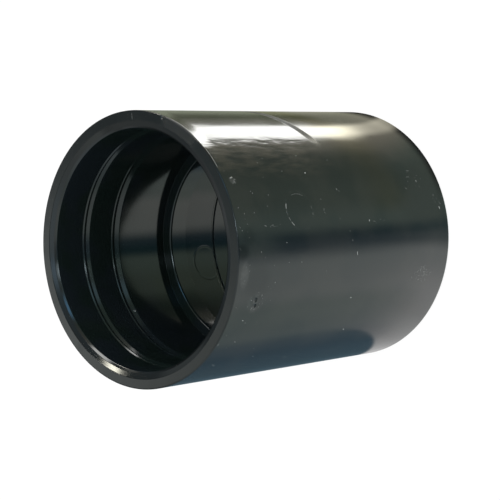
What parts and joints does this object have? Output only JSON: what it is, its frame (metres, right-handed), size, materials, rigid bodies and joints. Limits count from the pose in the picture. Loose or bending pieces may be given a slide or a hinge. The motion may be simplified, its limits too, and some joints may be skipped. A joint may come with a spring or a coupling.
{
  "type": "pipe connector",
  "caption": "Straight pipe coupling of glossy black plastic: a plain sleeve with a socket in each end and a stop ring between them.",
  "frame": {"origin": "centre of the lower end, on the plane that the coupling stands on", "axes": "+Z along the coupling's axis, from the lower end to the upper end; X and Y lie in the end plane"},
  "size_m": [0.059, 0.059, 0.0728],
  "materials": {
    "black_plastic": "glossy black moulded plastic"
  },
  "bodies": {
    "root": {"coupling": "black_plastic"}
  },
  "joints": []
}
